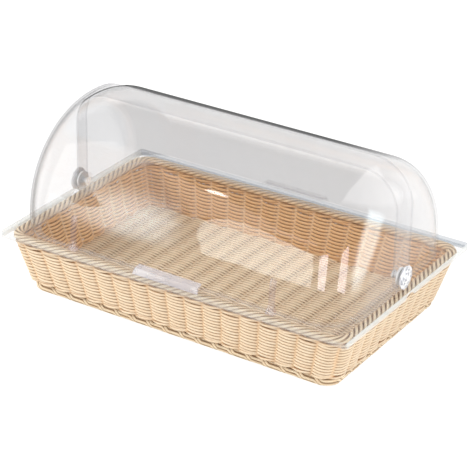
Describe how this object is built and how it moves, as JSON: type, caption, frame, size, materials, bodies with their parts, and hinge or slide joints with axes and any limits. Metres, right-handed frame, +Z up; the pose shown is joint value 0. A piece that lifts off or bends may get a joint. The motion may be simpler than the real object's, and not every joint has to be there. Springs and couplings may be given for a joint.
{
  "type": "countertop bread display bin",
  "caption": "Woven rattan-style basket under a clear roll-top hood, whose curved shells turn about screw knobs at the ends.",
  "frame": {"origin": "centre of the footprint, on the surface that the basket's foot stands on", "axes": "+X along the long side towards the right knob, -Y towards the front handle, +Z up"},
  "size_m": [0.53, 0.329, 0.2553],
  "materials": {
    "base_weave": "satin straw-coloured poly-rattan strands",
    "side_weave": "satin straw-coloured poly-rattan strands",
    "top_border": "satin straw-coloured poly-rattan strands",
    "foot_border": "satin straw-coloured poly-rattan strands",
    "rim_wire": "plain drawn wire",
    "foot_wire": "plain drawn wire",
    "hood_frame": "clear, polished",
    "left_pivot_lug": "clear, polished",
    "right_pivot_lug": "clear, polished",
    "left_lug_insert": "turned brass",
    "right_lug_insert": "turned brass",
    "left_shell_spacer": "natural nylon",
    "right_shell_spacer": "natural nylon",
    "left_knob_washer": "natural nylon",
    "right_knob_washer": "natural nylon",
    "front_shell": "clear, polished",
    "front_handle": "clear, polished",
    "left_rib": "clear, polished",
    "right_rib": "clear, polished",
    "rear_shell": "clear, polished",
    "rear_handle": "clear, polished",
    "left_knob": "clear, faceted",
    "right_knob": "clear, faceted",
    "left_stud": "plain turned steel",
    "right_stud": "plain turned steel"
  },
  "bodies": {
    "basket": {"base_weave": "base_weave", "side_weave": "side_weave", "top_border": "top_border", "foot_border": "foot_border", "rim_wire": "rim_wire", "foot_wire": "foot_wire"},
    "hood": {"hood_frame": "hood_frame", "left_pivot_lug": "left_pivot_lug", "right_pivot_lug": "right_pivot_lug", "left_lug_insert": "left_lug_insert", "right_lug_insert": "right_lug_insert", "left_shell_spacer": "left_shell_spacer", "right_shell_spacer": "right_shell_spacer", "left_knob_washer": "left_knob_washer", "right_knob_washer": "right_knob_washer"},
    "front_cover": {"front_shell": "front_shell", "front_handle": "front_handle", "left_rib": "left_rib", "right_rib": "right_rib"},
    "rear_cover": {"rear_shell": "rear_shell", "rear_handle": "rear_handle"},
    "left_screw": {"left_knob": "left_knob", "left_stud": "left_stud"},
    "right_screw": {"right_knob": "right_knob", "right_stud": "right_stud"}
  },
  "joints": [
    {"name": "hood_lift", "type": "slide", "parent": "basket", "child": "hood", "axis": [0, 0, 1], "range_m": [0, 0.12]},
    {"name": "front_shell_turn", "type": "hinge", "parent": "hood", "child": "front_cover", "pos_m": [0, 0, 0.105], "axis": [1, 0, 0], "range_deg": [-85, 0]},
    {"name": "rear_shell_turn", "type": "hinge", "parent": "hood", "child": "rear_cover", "pos_m": [0, 0, 0.105], "axis": [1, 0, 0], "range_deg": [0, 85]},
    {"name": "left_knob_turn", "type": "hinge", "parent": "hood", "child": "left_screw", "pos_m": [-0.2555, 0, 0.105], "axis": [1, 0, 0], "continuous": true},
    {"name": "right_knob_turn", "type": "hinge", "parent": "hood", "child": "right_screw", "pos_m": [0.2555, 0, 0.105], "axis": [1, 0, 0], "continuous": true}
  ]
}
